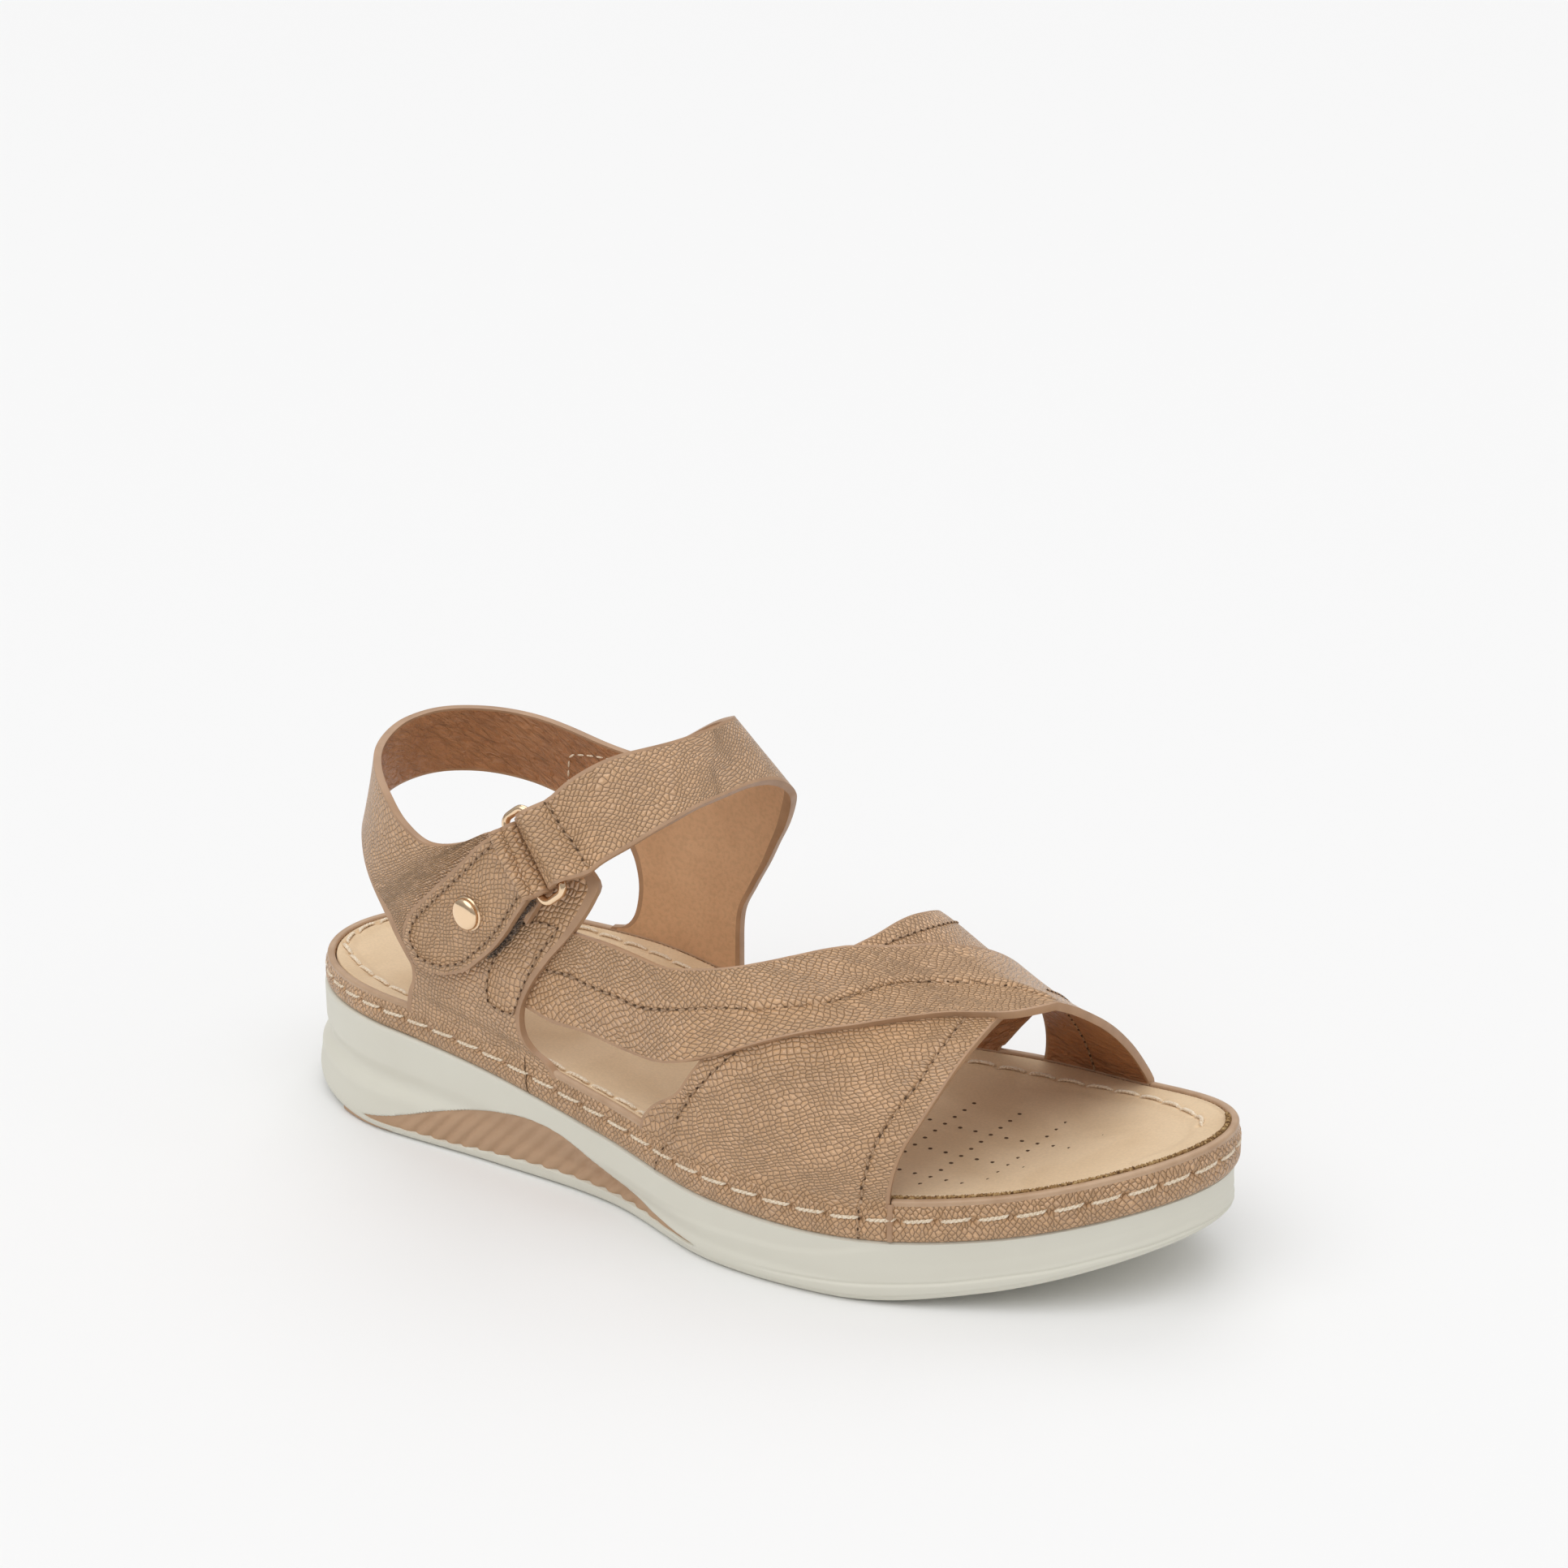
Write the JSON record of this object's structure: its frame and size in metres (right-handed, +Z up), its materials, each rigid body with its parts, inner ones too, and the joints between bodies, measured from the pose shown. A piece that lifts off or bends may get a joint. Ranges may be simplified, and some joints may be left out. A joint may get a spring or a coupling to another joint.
{
  "type": "cross strap sandal",
  "caption": "Right women's comfort sandal: wedge sole with ribbed arch plates, cupped footbed, crossed vamp straps, slingback and an ankle strap closed by a tab through a ring.",
  "frame": {"origin": "on the flat underside of the sole below the heel", "axes": "+X from heel to toe, +Y to the inner side of the foot, +Z up from the floor"},
  "size_m": [0.253, 0.0955, 0.107],
  "materials": {
    "sole_foam": "matt off-white moulded foam",
    "rib_plastic": "satin tan moulded plate",
    "footbed_nubuck": "soft yellow-tan nubuck with light stitching",
    "upper_leather": "taupe embossed leather with moderate gloss",
    "pale_gold": "polished pale rose gold"
  },
  "bodies": {
    "root": {"sole_unit": "sole_foam", "rib_insert_lateral": "rib_plastic", "rib_insert_medial": "rib_plastic", "footbed": "footbed_nubuck", "toe_rand": "upper_leather", "upper": "upper_leather", "fastening_tab": "upper_leather", "ring": "pale_gold", "stud": "pale_gold"}
  },
  "joints": []
}
